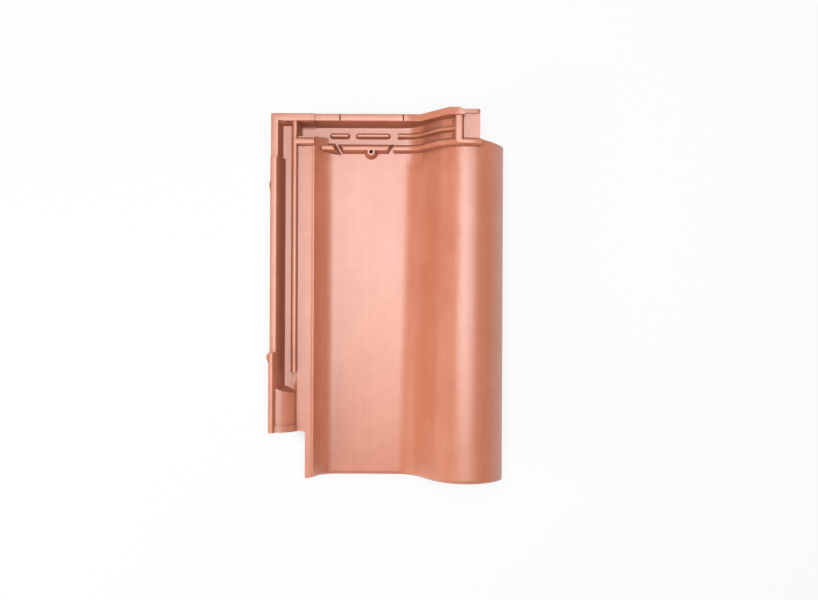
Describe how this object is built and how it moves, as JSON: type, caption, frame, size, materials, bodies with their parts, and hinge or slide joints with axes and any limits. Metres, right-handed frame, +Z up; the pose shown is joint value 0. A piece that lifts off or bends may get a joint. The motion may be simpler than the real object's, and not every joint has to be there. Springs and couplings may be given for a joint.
{
  "type": "clay roof tile",
  "caption": "Interlocking S-section clay roof tile with a flat pan, a rounded roll, ribbed side and head interlocks, a nail hole and hanging lugs.",
  "frame": {"origin": "centre of the bounding box at the level the tile rests on, under its lugs and tail rib", "axes": "+X from the side interlock to the roll, +Y from the tail edge to the head edge, +Z up out of the weather face"},
  "size_m": [0.2754, 0.43, 0.081],
  "materials": {
    "fired_clay": "natural red fired clay, satin"
  },
  "bodies": {
    "root": {"roof_tile": "fired_clay"}
  },
  "joints": []
}
